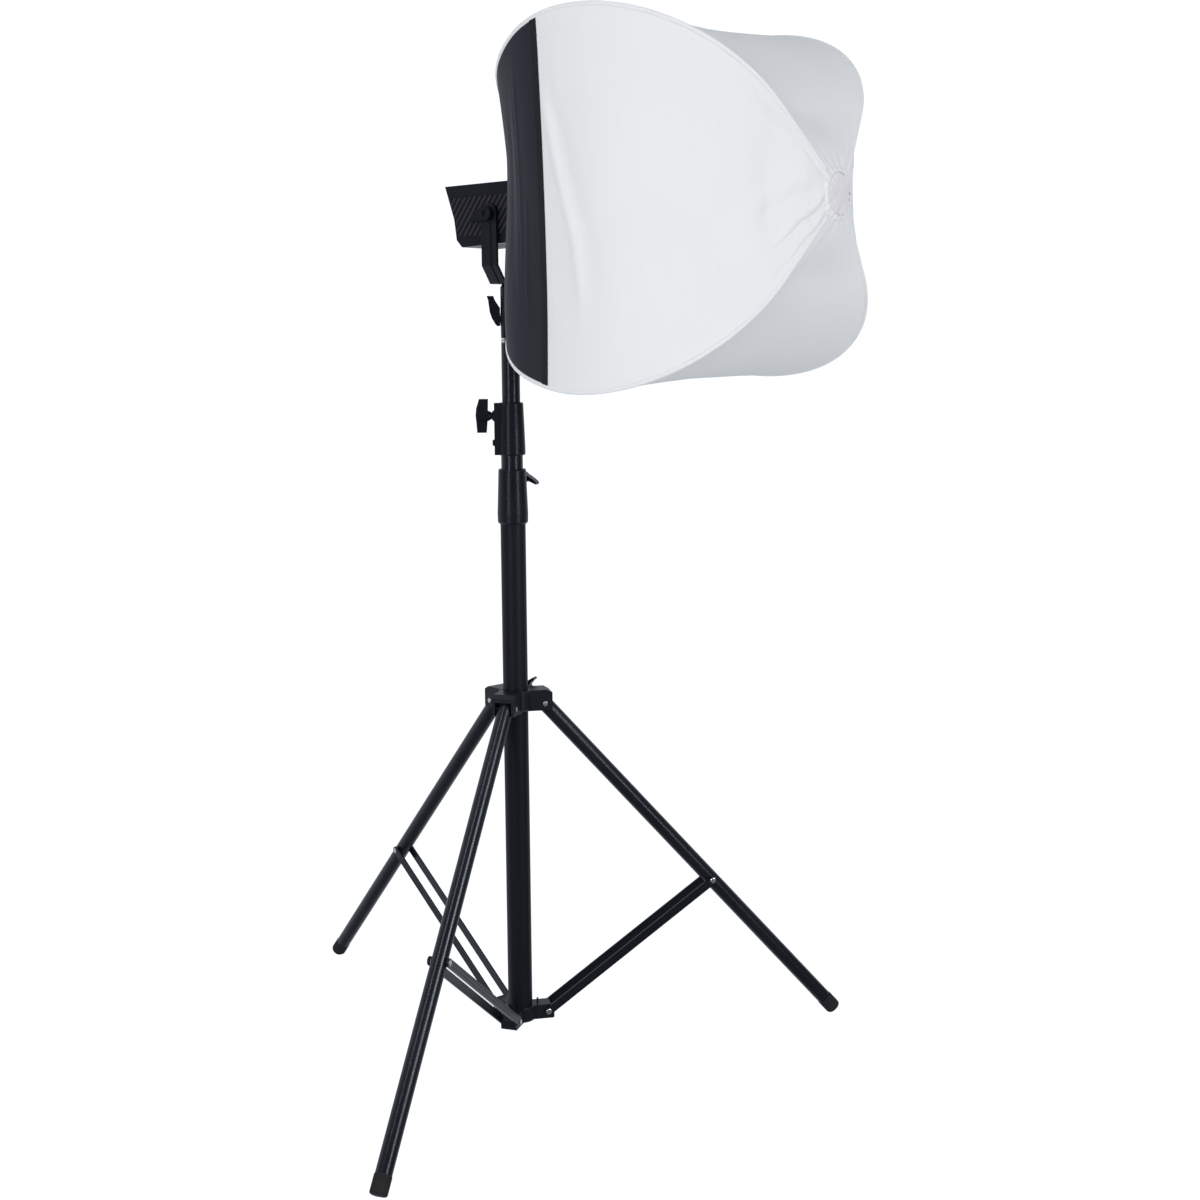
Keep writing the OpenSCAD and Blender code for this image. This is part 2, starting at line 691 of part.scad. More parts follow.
// A round rod along a path of [x, z] points, with its rings square to the path
module bent_rod(path, r, sides) {
    count = len(path);
    rings = [
        for (i = [0:count - 1])
            let (
                along = path[min(i + 1, count - 1)] - path[max(i - 1, 0)],
                across = [-along[1], along[0]] / norm(along)
            )
            for (k = [0:sides - 1])
                let (a = 360 * k / sides)
                [path[i][0] + r * cos(a) * across[0], r * sin(a), path[i][1] + r * cos(a) * across[1]]
    ];
    walls = [
        for (i = [0:count - 2])
            for (k = [0:sides - 1])
                let (n = (k + 1) % sides)
                each [
                    [i * sides + k, (i + 1) * sides + k, (i + 1) * sides + n],
                    [i * sides + k, (i + 1) * sides + n, i * sides + n]
                ]
    ];
    ends = [[for (k = [0:sides - 1]) k], [for (k = [sides - 1:-1:0]) (count - 1) * sides + k]];
    polyhedron(rings, concat(walls, ends));
}

// One bent rod from the speed ring to the front hub
module rib(i) color(bare_aluminium) softbox_frame() rotate([45 + 90 * i, 0, 0]) bent_rod(concat(
    [[rear_x + rib_inset, rear_rho - 4]],
    bent_part(rib_inset),
    [[front_x - rib_inset / cos(front_end_angle) + 5 * tan(front_end_angle), hub_rho - 5]]
), rib_r, 10);

module speed_ring() color(satin_black) softbox_frame() difference() {
    union() {
        rod_x(60, rear_x - 8, rear_x - 0.2);
        rod_x(46 - 0.3, rear_x - 8, rear_x + 4);
        for (i = [0:3]) rotate([45 + 90 * i, 0, 0]) translate([rear_x + 1.4, -5, 40]) cube([9, 10, 34]);
    }
    rod_x(mount_r + running_gap, 0, 200);
    for (i = [0:3]) rotate([45 + 90 * i, 0, 0])
        translate([rear_x + rib_inset, 0, rear_rho - 4]) cylinder(r = rib_r + fixed_gap, h = 40);
}

module front_hub() color(white_cloth) softbox_frame() difference() {
    union() {
        rod_x(23, front_x - 12, front_x + 2);
        for (i = [0:3]) rotate([45 + 90 * i, 0, 0]) translate([front_x - 5.9, 0, hub_rho])
            rotate([0, 180 - front_end_angle, 0]) translate([0, 0, -7]) cylinder(r = 4, h = 22);
    }
    for (i = [0:3]) rotate([45 + 90 * i, 0, 0]) translate([bend_x, 0, front_bend_rho])
        rotate([0, 90 - front_end_angle, 0]) translate([0, 0, front_bend_r - rib_inset])
        rotate([0, 90, 0]) cylinder(r = rib_r + fixed_gap, h = 108.4);
}

// ---- The object ----

in_place() base_tube();
in_place() base_plug();
in_place() lower_collar();
in_place() lock_collar_1();
in_place() spreader();
in_place() leg_pins();
in_place() spreader_knob();
in_place() leg(0);  // leg_1
in_place() leg(1);  // leg_2
in_place() leg(2);  // leg_3
in_place() foot(0);  // foot_1
in_place() foot(1);  // foot_2
in_place() foot(2);  // foot_3
in_place() brace(0);  // brace_1
in_place() brace(1);  // brace_2
in_place() brace(2);  // brace_3
in_place() brace_rivets(0);  // brace_rivets_1
in_place() brace_rivets(1);  // brace_rivets_2
in_place() brace_rivets(2);  // brace_rivets_3
in_place() lock_knob_1();
in_place() tube_2();
in_place() slide_bush_2();
in_place() lock_collar_2();
in_place() collar_screw();
in_place() lock_knob_2();
in_place() tube_3();
in_place() slide_bush_3();
in_place() spigot();
in_place() receiver();
in_place() receiver_lever();
in_place() yoke();
in_place() yoke_bolt();
in_place() tilt_lever();
in_place() tilt_bolts();
in_place() side_panel(1);  // side_panel_left
in_place() side_panel(-1);  // side_panel_right
in_place() top_cover();
in_place() bottom_cover();
in_place() rear_panel();
in_place() mount_ring();
in_place() led_module();
in_place() heat_sink();
in_place() fan();
in_place() driver_board();
in_place() display();
in_place() dial();
in_place() power_switch();
in_place() release_button();
in_place() dc_inlet();
in_place() speed_ring();
in_place() rib(0);  // rib_1
in_place() rib(1);  // rib_2
in_place() rib(2);  // rib_3
in_place() rib(3);  // rib_4
in_place() front_hub();
in_place() rear_skin();
in_place() diffuser(0);  // diffuser_1
in_place() diffuser(1);  // diffuser_2
in_place() diffuser(2);  // diffuser_3
in_place() diffuser(3);  // diffuser_4
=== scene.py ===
"""Looks of the lantern softbox, its light head and its stand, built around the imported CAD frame. Metres, +Z up.

The softbox's own frame has X along its axis, from the stand's axis, and the four ribs at 45 degrees to Y and Z.
"""

import json
import math

import bmesh
import bpy
import numpy as np
from mathutils import Matrix, Vector


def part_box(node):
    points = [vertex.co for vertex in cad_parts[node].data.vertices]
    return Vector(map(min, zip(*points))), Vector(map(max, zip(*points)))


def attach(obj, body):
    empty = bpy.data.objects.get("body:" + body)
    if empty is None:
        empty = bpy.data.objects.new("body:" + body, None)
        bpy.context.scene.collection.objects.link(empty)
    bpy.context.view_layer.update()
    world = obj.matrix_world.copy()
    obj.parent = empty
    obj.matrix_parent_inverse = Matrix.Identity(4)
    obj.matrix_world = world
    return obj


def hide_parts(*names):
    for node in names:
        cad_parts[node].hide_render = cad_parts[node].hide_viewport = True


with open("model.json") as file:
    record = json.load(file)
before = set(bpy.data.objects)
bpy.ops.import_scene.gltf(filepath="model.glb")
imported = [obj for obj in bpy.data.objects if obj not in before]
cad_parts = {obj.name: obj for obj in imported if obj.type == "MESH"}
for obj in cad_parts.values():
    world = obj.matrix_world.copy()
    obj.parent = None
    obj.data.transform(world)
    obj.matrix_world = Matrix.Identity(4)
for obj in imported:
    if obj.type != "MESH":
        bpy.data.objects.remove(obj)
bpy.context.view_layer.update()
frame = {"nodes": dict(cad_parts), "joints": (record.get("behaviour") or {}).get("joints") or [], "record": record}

MM = 0.001

# ---- Driving dimensions of the softbox, the same as in the CAD source ----
HEAD_TILT = math.radians(0.9)
SOFTBOX_ROLL = math.radians(2.1)
PIVOT_UP = 8 * MM
REAR_X = 84 * MM
REAR_BEND_R = 193 * MM
FRONT_BEND_R = 208 * MM
RIB_SEAM_R = 308 * MM
BEND_X = REAR_X + REAR_BEND_R
REAR_BEND_RHO = RIB_SEAM_R - REAR_BEND_R
FRONT_BEND_RHO = RIB_SEAM_R - FRONT_BEND_R
FRONT_END_ANGLE = math.radians(10)
SOCKET_TOP_RHO = 76 * MM
SHOULDER_R = 110 * MM
SHOULDER_FROM = 167
SHOULDER_TO = 134
SHOULDER_X = BEND_X + (REAR_BEND_R - SHOULDER_R) * math.cos(math.radians(SHOULDER_TO))
SHOULDER_RHO = REAR_BEND_RHO + (REAR_BEND_R - SHOULDER_R) * math.sin(math.radians(SHOULDER_TO))
REAR_HOLE_RHO = 46 * MM
HUB_RHO = 33 * MM
FRONT_X = (
    BEND_X
    + FRONT_BEND_R * math.cos(FRONT_END_ANGLE)
    + (FRONT_BEND_RHO + FRONT_BEND_R * math.sin(FRONT_END_ANGLE) - HUB_RHO) * math.tan(FRONT_END_ANGLE)
)
SEAM_X = 223 * MM
CLOTH_T = 0.8 * MM

# ---- Studio: how white the surround is to the camera, as light, and mirrored in glossy parts ----
SEEN_WHITE = 1.08
WORLD_LIT = 0.585
FLOOR_LIT = 0.6
MIRRORED_NEAR = 0.1
MIRRORED_FAR = 0.6
SKY_TINT = (0.945, 0.995, 1.045, 1)
# How far the white of the mirrored surround is turned from straight behind the object
MIRRORED_TURN = math.radians(16)
KEY_TINT = (1.0, 0.95, 0.92)

# ---- Camera ----
VIEW_AZIMUTH = math.radians(39.23)
CAMERA_DISTANCE = 2.30283
CAMERA_HEIGHT = 1.0027
CAMERA_YAW = math.radians(2.986)
CAMERA_PITCH = math.radians(8.779)
CAMERA_ROLL = math.radians(-0.426)
LENS_MM = 49.916


def middle(node):
    """The middle of a CAD node's box."""
    low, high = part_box(node)
    return (low + high) / 2


STAND_AXIS = Vector((middle("base_tube").x, middle("base_tube").y, 0))
PIVOT = Vector(next(j["pos_m"] for j in frame["joints"] if j["name"] == "head_tilt"))
HEAD_FRAME = (
    Matrix.Translation(PIVOT)
    @ Matrix.Rotation(-HEAD_TILT, 4, "Y")
    @ Matrix.Translation((0, 0, -PIVOT_UP))
)
SOFTBOX_FRAME = HEAD_FRAME @ Matrix.Rotation(SOFTBOX_ROLL, 4, "X")


# ---- Node helpers ----


class Shader:
    """A material's node tree with short ways to add to it."""

    def __init__(self, name):
        self.material = bpy.data.materials.new(name)
        self.material.use_nodes = True
        self.tree = self.material.node_tree
        self.bsdf = self.tree.nodes["Principled BSDF"]

    def add(self, kind, **values):
        """A node of that kind. A value is set on the socket of that name, or on the node's own property."""
        node = self.tree.nodes.new(kind)
        for key, value in values.items():
            socket = node.inputs.get(key.replace("_", " "))
            if socket is not None:
                socket.default_value = value
            else:
                setattr(node, key, value)
        return node

    def join(self, source, target):
        self.tree.links.new(source, target)

    def constant(self, **values):
        for key, value in values.items():
            self.bsdf.inputs[key.replace("_", " ")].default_value = value

    def place(self, scale=(1, 1, 1), uv=False):
        """Coordinates in metres, object ones or the cloth's own, scaled."""
        source = self.add("ShaderNodeUVMap", uv_map="cloth") if uv else self.add("ShaderNodeTexCoord")
        mapping = self.add("ShaderNodeMapping")
        mapping.inputs["Scale"].default_value = scale
        self.join(source.outputs["UV" if uv else "Object"], mapping.inputs["Vector"])
        return mapping.outputs["Vector"]

    def noise(self, vector, scale, detail=3.0, roughness=0.5):
        node = self.add("ShaderNodeTexNoise", Scale=scale, Detail=detail, Roughness=roughness)
        self.join(vector, node.inputs["Vector"])
        return node.outputs["Fac"]

    def ramp(self, factor, low, high, start=0.0, end=1.0):
        """Maps a factor from start..end to two colours."""
        node = self.add("ShaderNodeValToRGB")
        node.color_ramp.elements[0].position = start
        node.color_ramp.elements[1].position = end
        node.color_ramp.elements[0].color = (*low, 1)
        node.color_ramp.elements[1].color = (*high, 1)
        self.join(factor, node.inputs["Fac"])
        return node.outputs["Color"]

    def spread(self, factor, low, high, start=0.0, end=1.0):
        """Maps a factor from start..end to low..high."""
        node = self.add("ShaderNodeMapRange")
        for key, value in (("From Min", start), ("From Max", end), ("To Min", low), ("To Max", high)):
            node.inputs[key].default_value = value
        self.join(factor, node.inputs["Value"])
        return node.outputs["Result"]

    def maths(self, operation, a, b):
        node = self.add("ShaderNodeMath", operation=operation)
        for i, value in enumerate((a, b)):
            if isinstance(value, (int, float)):
                node.inputs[i].default_value = value
            else:
                self.join(value, node.inputs[i])
        return node.outputs["Value"]

    def bump(self, height, distance, strength=1.0, normal=None):
        node = self.add("ShaderNodeBump", Strength=strength, Distance=distance)
        self.join(height, node.inputs["Height"])
        if normal is not None:
            self.join(normal, node.inputs["Normal"])
        return node.outputs["Normal"]

    def rounded(self, radius):
        """Normals as if sharp edges had a small radius."""
        node = self.add("ShaderNodeBevel", samples=4, Radius=radius)
        return node.outputs["Normal"]


# ---- Materials ----


# The tint of what the black parts mirror
COLD_SHINE = (0.82, 0.88, 1, 1)


def dark_finish(name, low, high, roughness, grain, grain_depth, streak=(1, 1, 1), specular=0.3, edge=0.35 * MM):
    """Satin black surface: fine grain, faint cloudiness in its colour and gloss, rounded edges unless edge is 0."""
    s = Shader(name)
    cloud = s.noise(s.place(streak), 9, detail=4)
    fine = s.noise(s.place(), grain, detail=2)
    s.join(s.ramp(cloud, low, high, 0.35, 0.65), s.bsdf.inputs["Base Color"])
    s.join(s.spread(cloud, roughness - 0.03, roughness + 0.04, 0.3, 0.7), s.bsdf.inputs["Roughness"])
    normal = s.rounded(edge) if edge else None
    s.join(s.bump(fine, grain_depth, normal=normal), s.bsdf.inputs["Normal"])
    s.constant(Specular_IOR_Level=specular, Specular_Tint=COLD_SHINE)
    return s.material


def ribbed_finish(name, middle_y, outer_y):
    """Moulded panel with a painted highlight on the tops of its raised ribs: the tops are made paler, a little
    unevenly, for the light that falls on them. The panels face +Y and -Y, so the ribs' tops are told by their distance
    from the middle of the body."""
    s = Shader(name)
    split = s.add("ShaderNodeSeparateXYZ")
    s.join(s.place(), split.inputs["Vector"])
    out = s.maths("ABSOLUTE", s.maths("SUBTRACT", split.outputs["Y"], middle_y), 0)
    raised = s.spread(out, 0, 1, outer_y - 0.5 * MM, outer_y - 0.15 * MM)
    # Painted highlight: the raised rib tops get a paler colour and a rougher gloss, a little uneven, for light falling
    # on them
    painted_rib_highlight = s.maths("MULTIPLY", raised, s.spread(s.noise(s.place(), 60, detail=4), 0.75, 1, 0.3, 0.7))
    fine = s.noise(s.place(), 1100, detail=2)
    s.join(s.ramp(painted_rib_highlight, (0.008, 0.0085, 0.013), (0.036, 0.033, 0.045)), s.bsdf.inputs["Base Color"])
    s.join(s.spread(painted_rib_highlight, 0.32, 0.45), s.bsdf.inputs["Roughness"])
    s.join(s.bump(fine, 0.01 * MM, normal=s.rounded(0.3 * MM)), s.bsdf.inputs["Normal"])
    s.constant(Specular_IOR_Level=0.26)
    return s.material


def metal_finish(name, low, high, roughness, streak):
    """Bare metal with drawn lines and small stains."""
    s = Shader(name)
    lines = s.noise(s.place(streak), 60, detail=4)
    stain = s.noise(s.place(), 70, detail=5)
    s.join(s.ramp(stain, low, high, 0.3, 0.7), s.bsdf.inputs["Base Color"])
    s.join(s.spread(lines, roughness - 0.08, roughness + 0.1, 0.3, 0.7), s.bsdf.inputs["Roughness"])
    s.join(s.bump(lines, 0.02 * MM, normal=s.rounded(0.3 * MM)), s.bsdf.inputs["Normal"])
    s.constant(Metallic=1.0)
    return s.material


def woven(name, low, high, roughness, thread, depth, specular=0.3, sheen=0.0, sheen_tint=(1, 1, 1, 1)):
    """Plain-woven cloth: two sets of threads, slubs along them, and a soft cloudiness."""
    s = Shader(name)
    turns = 0.314 / thread
    cloth = s.place(uv=True)
    weave = []
    for direction in ("X", "Y"):
        wave = s.add("ShaderNodeTexWave", bands_direction=direction, Scale=turns, Distortion=0.4)
        s.join(cloth, wave.inputs["Vector"])
        weave.append(wave.outputs["Fac"])
    threads = s.maths("MAXIMUM", *weave)
    slubs = s.noise(s.place((18, 420, 1), uv=True), 1, detail=3)
    cloud = s.noise(s.place((1, 1, 1), uv=True), 6, detail=3)
    tone = s.maths("ADD", s.spread(slubs, 0, 0.45, 0.3, 0.7), s.spread(cloud, 0, 0.55, 0.3, 0.7))
    s.join(s.ramp(tone, low, high), s.bsdf.inputs["Base Color"])
    s.join(s.spread(slubs, roughness - 0.04, roughness + 0.05, 0.3, 0.7), s.bsdf.inputs["Roughness"])
    height = s.maths("ADD", s.maths("MULTIPLY", threads, 0.5), s.maths("MULTIPLY", slubs, 0.9))
    s.join(s.bump(height, depth), s.bsdf.inputs["Normal"])
    s.constant(Specular_IOR_Level=specular, Sheen_Weight=sheen, Sheen_Roughness=0.4, Sheen_Tint=sheen_tint)
    return s.material


def rubber_finish():
    s = Shader("rubber")
    dust = s.noise(s.place(), 45, detail=5)
    fine = s.noise(s.place(), 900, detail=2)
    s.join(s.ramp(dust, (0.012, 0.012, 0.013), (0.022, 0.022, 0.023), 0.35, 0.7), s.bsdf.inputs["Base Color"])
    s.join(s.spread(dust, 0.68, 0.85, 0.3, 0.7), s.bsdf.inputs["Roughness"])
    s.join(s.bump(fine, 0.05 * MM, normal=s.rounded(0.5 * MM)), s.bsdf.inputs["Normal"])
    s.constant(Specular_IOR_Level=0.25)
    return s.material


def display_finish():
    """Dark glass window with a faint smear of dust."""
    s = Shader("display_glass")
    dust = s.noise(s.place(), 120, detail=5)
    s.join(s.ramp(dust, (0.004, 0.005, 0.006), (0.01, 0.011, 0.012), 0.4, 0.7), s.bsdf.inputs["Base Color"])
    s.join(s.spread(dust, 0.06, 0.16, 0.35, 0.75), s.bsdf.inputs["Roughness"])
    s.constant(Specular_IOR_Level=0.5, Coat_Weight=0.4)
    return s.material


def led_finish():
    """Yellow phosphor, with a fine grain in its tone, gloss and surface."""
    s = Shader("led_board")
    grain = s.noise(s.place(), 500, detail=3)
    s.join(s.ramp(grain, (0.8, 0.62, 0.16), (0.9, 0.75, 0.28), 0.3, 0.7), s.bsdf.inputs["Base Color"])
    s.join(s.spread(grain, 0.35, 0.5), s.bsdf.inputs["Roughness"])
    s.join(s.bump(grain, 0.05 * MM), s.bsdf.inputs["Normal"])
    return s.material


def board_finish():
    s = Shader("circuit_board")
    grain = s.noise(s.place(), 180, detail=6)
    s.join(s.ramp(grain, (0.01, 0.05, 0.022), (0.03, 0.13, 0.06), 0.4, 0.6), s.bsdf.inputs["Base Color"])
    s.join(s.spread(grain, 0.25, 0.5), s.bsdf.inputs["Roughness"])
    s.join(s.bump(grain, 0.05 * MM), s.bsdf.inputs["Normal"])
    return s.material


DOWN_THE_TUBE = (1, 1, 0.06)
MATERIALS = {
    "black_tube": dark_finish(
        "black_tube", (0.0075, 0.0083, 0.0125), (0.0105, 0.0115, 0.0165), 0.24, 700, 0.002 * MM, DOWN_THE_TUBE, 0.42, 0
    ),
    "satin_tube": dark_finish(
        "satin_tube", (0.0075, 0.0083, 0.0125), (0.0105, 0.0115, 0.0165), 0.42, 700, 0.004 * MM, DOWN_THE_TUBE, 0.2, 0
    ),
    "cast_black": dark_finish(
        "cast_black", (0.0075, 0.0083, 0.012), (0.011, 0.012, 0.017), 0.36, 700, 0.02 * MM,
        specular=0.34, edge=0.6 * MM,
    ),
    "moulded_black": dark_finish(
        "moulded_black", (0.0075, 0.0085, 0.013), (0.0105, 0.0118, 0.0175), 0.28, 1100, 0.01 * MM, specular=0.26
    ),
    "rubber": rubber_finish(),
    "steel": metal_finish("steel", (0.55, 0.56, 0.58), (0.75, 0.76, 0.78), 0.28, (1, 1, 1)),
    "aluminium": metal_finish("aluminium", (0.6, 0.6, 0.62), (0.74, 0.74, 0.76), 0.34, (1, 1, 12)),
    "white_cloth": woven(
        "white_cloth", (0.835, 0.84, 0.85), (0.87, 0.875, 0.885), 0.62, 0.7 * MM, 0.012 * MM, specular=0.2
    ),
    "black_cloth": woven(
        "black_cloth", (0.0165, 0.0185, 0.028), (0.0225, 0.025, 0.037), 0.46, 0.6 * MM, 0.02 * MM,
        specular=0.14, sheen=0.03, sheen_tint=(0.8, 0.85, 1, 1),
    ),
    "hem_cloth": woven(
        "hem_cloth", (0.011, 0.0125, 0.017), (0.015, 0.017, 0.023), 0.6, 1.2 * MM, 0.08 * MM, specular=0.2
    ),
    "gather_cloth": woven(
        "gather_cloth", (0.79, 0.77, 0.8), (0.86, 0.84, 0.87), 0.6, 0.7 * MM, 0.03 * MM, specular=0.2
    ),
    "display": display_finish(),
    "led": led_finish(),
    "circuit_board": board_finish(),
}


def paint(thing, name):
    """Gives an object one of the materials."""
    thing.data.materials.clear()
    thing.data.materials.append(MATERIALS[name])


def paint_cad():
    """Every CAD node takes the better version of its own slot's finish."""
    for part in frame["record"]["subparts"]:
        node = frame["nodes"][part["node"]]
        if not node.data.materials:
            node.data.materials.append(None)
        for i in range(len(node.data.materials)):
            node.data.materials[i] = MATERIALS[part["material_slot"]]
    paint(frame["nodes"]["base_tube"], "satin_tube")
    panels = [frame["nodes"][name] for name in ("side_panel_left", "side_panel_right")]
    span = [vertex.co.y for panel in panels for vertex in panel.data.vertices]
    MATERIALS["ribbed_panel"] = ribbed_finish("ribbed_panel", (min(span) + max(span)) / 2, (max(span) - min(span)) / 2)
    for panel in panels:
        paint(panel, "ribbed_panel")


# ---- Meshes ----


def new_piece(name, mesh, body):
    """An object for a mesh drawn in the row frame, riding on a body."""
    thing = bpy.data.objects.new(name, mesh)
    bpy.context.scene.collection.objects.link(thing)
    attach(thing, body)
    return thing


def smooth(mesh):
    for face in mesh.polygons:
        face.use_smooth = True


def to_row_frame(points):
    """Points of the softbox's own frame, settled and moved to where they stand in the row frame."""
    return settle(points) @ np.array(SOFTBOX_FRAME.to_3x3()).T + np.array(SOFTBOX_FRAME.translation)


def grid(name, points, uvs, closed=False):
    """A mesh over a grid of points, given in the softbox's frame, with the cloth's flat coordinates as UVs."""
    rows, columns = points.shape[:2]
    placed = to_row_frame(points.reshape(-1, 3))
    faces = []
    for i in range(rows - 1):
        for j in range(columns if closed else columns - 1):
            k = (j + 1) % columns
            faces.append((i * columns + j, i * columns + k, (i + 1) * columns + k, (i + 1) * columns + j))
    mesh = bpy.data.meshes.new(name)
    mesh.from_pydata(placed.tolist(), [], faces)
    layer = mesh.uv_layers.new(name="cloth")
    corner = np.zeros(len(mesh.loops), int)
    mesh.loops.foreach_get("vertex_index", corner)
    layer.data.foreach_set("uv", uvs.reshape(-1, 2)[corner].astype(np.float32).ravel())
    smooth(mesh)
    return mesh


def thicken(thing, thickness):
    """Gives a sheet its thickness, inwards."""
    modifier = thing.modifiers.new("thickness", "SOLIDIFY")
    modifier.thickness = thickness
    modifier.offset = -1
    modifier.use_rim = True
    return thing


def sweep(name, path, across, radius, sides=10, squeeze=1.0):
    """A closed tube along a path. across gives a vector square to the path at each point."""
    path, across = np.asarray(path, float), np.asarray(across, float)
    along = np.gradient(path, axis=0)
    along /= np.linalg.norm(along, axis=1)[:, None]
    across = across - (across * along).sum(1)[:, None] * along
    across /= np.linalg.norm(across, axis=1)[:, None]
    other = np.cross(along, across)
    turn = np.linspace(0, 2 * math.pi, sides, endpoint=False)
    rings = (
        path[:, None]
        + radius * squeeze * np.cos(turn)[None, :, None] * across[:, None]
        + radius * np.sin(turn)[None, :, None] * other[:, None]
    )
    long = np.concatenate([[0], np.cumsum(np.linalg.norm(np.diff(path, axis=0), axis=1))])
    uvs = np.stack(np.broadcast_arrays(turn[None] * radius, long[:, None]), -1)
    mesh = grid(name, rings, uvs, closed=True)
    shell = bmesh.new()
    shell.from_mesh(mesh)
    shell.verts.ensure_lookup_table()
    count = len(path)
    shell.faces.new([shell.verts[k] for k in range(sides)])
    shell.faces.new([shell.verts[(count - 1) * sides + k] for k in range(sides - 1, -1, -1)])
    bmesh.ops.recalc_face_normals(shell, faces=shell.faces)
    shell.to_mesh(mesh)
    shell.free()
    return mesh


# ---- The lantern's shape ----


def arc(centre_x, centre_rho, radius, start, end, steps):
    turn = np.radians(np.linspace(start, end, steps))
    return np.stack([centre_x + radius * np.cos(turn), centre_rho + radius * np.sin(turn)], 1)


def seam_path():
    """The rib seam from the mount to the hub, as close points (distance along the axis, distance from it)."""
    corners = [
        [[REAR_X, REAR_HOLE_RHO + 2 * MM], [REAR_X, SOCKET_TOP_RHO]],
        arc(SHOULDER_X, SHOULDER_RHO, SHOULDER_R, SHOULDER_FROM, SHOULDER_TO, 60),
        arc(BEND_X, REAR_BEND_RHO, REAR_BEND_R, SHOULDER_TO, 90, 120)[1:],
        arc(BEND_X, FRONT_BEND_RHO, FRONT_BEND_R, 90, math.degrees(FRONT_END_ANGLE), 200)[1:],
        [[FRONT_X, HUB_RHO], [FRONT_X + 1.4 * MM, HUB_RHO - 8 * MM]],
    ]
    return np.concatenate([np.asarray(c, float) for c in corners])


SEAM = seam_path()
SEAM_LONG = np.concatenate([[0], np.cumsum(np.linalg.norm(np.diff(SEAM, axis=0), axis=1))])
REAR_HALF = SEAM[:, 0] <= BEND_X
COLOUR_CHANGE = float(np.interp(SEAM_X, SEAM[REAR_HALF, 0], SEAM_LONG[REAR_HALF]))
SEAM_END = float(SEAM_LONG[-2])


def seam_at(along):
    """Points of the seam at distances along it, and the outward direction there."""
    step = 0.5 * MM
    point = np.stack([np.interp(along, SEAM_LONG, SEAM[:, k]) for k in range(2)], -1)
    ahead = np.stack([np.interp(np.minimum(along + step, SEAM_LONG[-1]), SEAM_LONG, SEAM[:, k]) for k in range(2)], -1)
    behind = np.stack([np.interp(np.maximum(along - step, 0), SEAM_LONG, SEAM[:, k]) for k in range(2)], -1)
    tangent = ahead - behind
    tangent /= np.linalg.norm(tangent, axis=-1, keepdims=True)
    outward = np.stack([-tangent[..., 1], tangent[..., 0]], -1)
    return point, outward


def ease(value, start, end):
    """0 below start, 1 above end, smooth between."""
    t = np.clip((value - start) / (end - start), 0, 1)
    return t * t * (3 - 2 * t)


def ripple(x, y, seed, count=7, low=1.0, high=3.0):
    """A smooth random field made of a few waves, about -1 to 1."""
    random = np.random.default_rng(seed)
    total = np.zeros(np.broadcast(x, y).shape)
    for _ in range(count):
        turn, phase = random.uniform(0, 2 * math.pi, 2)
        pitch = random.uniform(low, high)
        total += np.sin(pitch * (math.cos(turn) * x + math.sin(turn) * y) * 2 * math.pi + phase)
    return total / math.sqrt(count)


HEM_W = 10.5 * MM
GATHER_R = 28.5 * MM
PATCH_R = 76 * MM
STITCH_PITCH = 4.4 * MM
SEAM_SAG = 4.5 * MM
FRONT_SAG = 22 * MM
REAR_SAG = 5.7 * MM
# The rear of the camera side hangs in more above its middle than below it
REAR_SAG_LEAN = 12 * MM
SEAM_LEAN = 0.02
SEAM_SHIFT = 0.9 * MM
# How much further the two far corners stand out than the near ones, in the softbox's frame
FAR_TOP_SHIFT = np.array([-5.5, -0.2, 7]) * MM
FAR_BOTTOM_SHIFT = np.array([0, 1, -3]) * MM
# How much further back the near corners' shoulders stand than their ribs'
NEAR_BOTTOM_BACK = 7.7 * MM
NEAR_TOP_BACK = -2.24 * MM

# A fold on a gore: points of (distance past the colour seam, place across from -1 to 1), its half width and height
ACROSS_FOLDS = {
    0: [([(4, -0.5), (26, -0.2), (40, 0.1), (48, 0.5)], 9, 0.9), ([(12, 0.2), (20, 0.55), (24, 0.8)], 12, -0.5)],
    1: [
        ([(2, 0.66), (21, 0.27), (35, 0.02), (49, -0.2), (56, -0.5), (58, -0.75)], 7, 3.0),
        ([(16, 0.66), (37, 0.27), (53, 0.02), (69, -0.2), (79, -0.5), (83, -0.75)], 12, -1.7),
        ([(60, 0.8), (76, 0.45), (88, 0.1), (90, -0.2)], 14, 0.5),
        ([(8, -0.35), (13, -0.6), (12, -0.9)], 8, 0.5),
        ([(24, 0.9), (30, 0.6), (28, 0.4)], 9, 0.5),
    ],
    2: [([(3, 0.5), (20, 0.25), (34, -0.05), (44, -0.4)], 9, 1.1), ([(60, 0.3), (74, 0), (80, -0.4)], 13, -0.6)],
    3: [([(3, -0.6), (22, -0.2), (38, 0.1), (50, 0.5)], 8, 1.2), ([(14, -0.6), (36, -0.2), (56, 0.3)], 12, -0.7)],
}
# The same on the black cloth, where the distances run back from the colour seam
BLACK_FOLDS = {
    0: [([(40, -0.7), (46, 0), (42, 0.7)], 5, 0.8)],
    1: [
        ([(58, 0.9), (56, 0.4), (52, -0.1), (47, -0.7)], 4, 1.1),
        ([(68, 0.8), (65, 0.3), (60, -0.2), (56, -0.75)], 3.2, 0.9),
        ([(38, 0.1), (40, -0.3), (39, -0.75)], 3.2, 0.8),
        ([(84, 0.7), (80, 0.1), (74, -0.6)], 6, -0.8),
    ],
    2: [([(48, -0.6), (52, 0), (46, 0.6)], 5, 0.8)],
    3: [([(56, -0.8), (52, 0), (58, 0.8)], 5, 0.9)],
}
